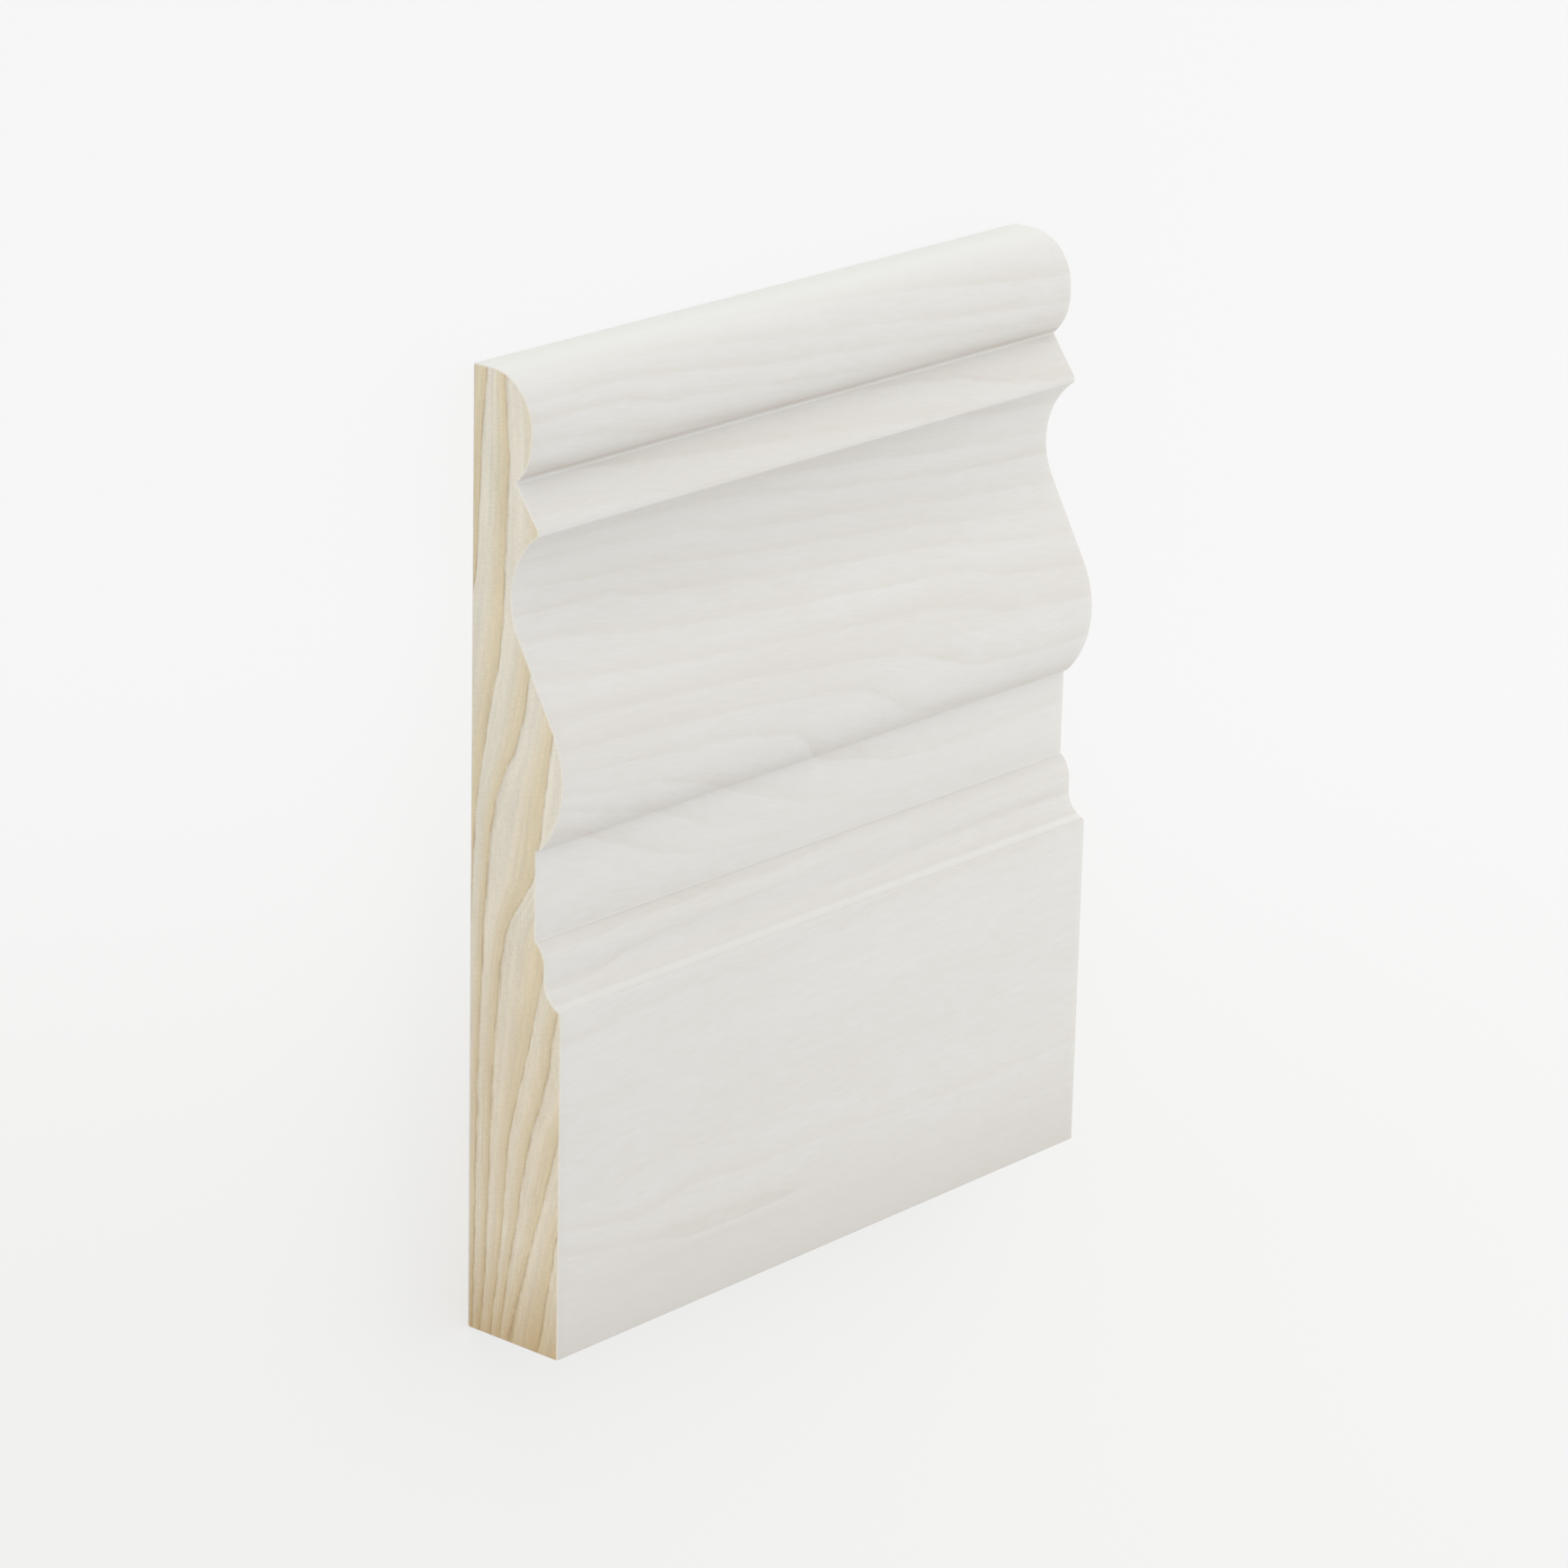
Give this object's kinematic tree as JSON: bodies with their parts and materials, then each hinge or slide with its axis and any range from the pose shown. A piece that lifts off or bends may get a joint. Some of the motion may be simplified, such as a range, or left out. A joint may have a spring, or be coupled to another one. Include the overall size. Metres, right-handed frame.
{
  "type": "skirting board length",
  "caption": "Short square-cut length of deep moulded softwood skirting with a rounded nose, sloping fillet, ogee, band and plinth, white-stained face and bare ends.",
  "frame": {"origin": "middle of the back face, which lies on the floor", "axes": "+X along the length, +Y across the board towards its rounded top edge, +Z out of the moulded face"},
  "size_m": [0.18, 0.22, 0.027],
  "materials": {
    "limed_pine": "planed softwood with a thin matt white stain on the face, bare sawn ends"
  },
  "bodies": {
    "root": {"skirting_board": "limed_pine"}
  },
  "joints": []
}
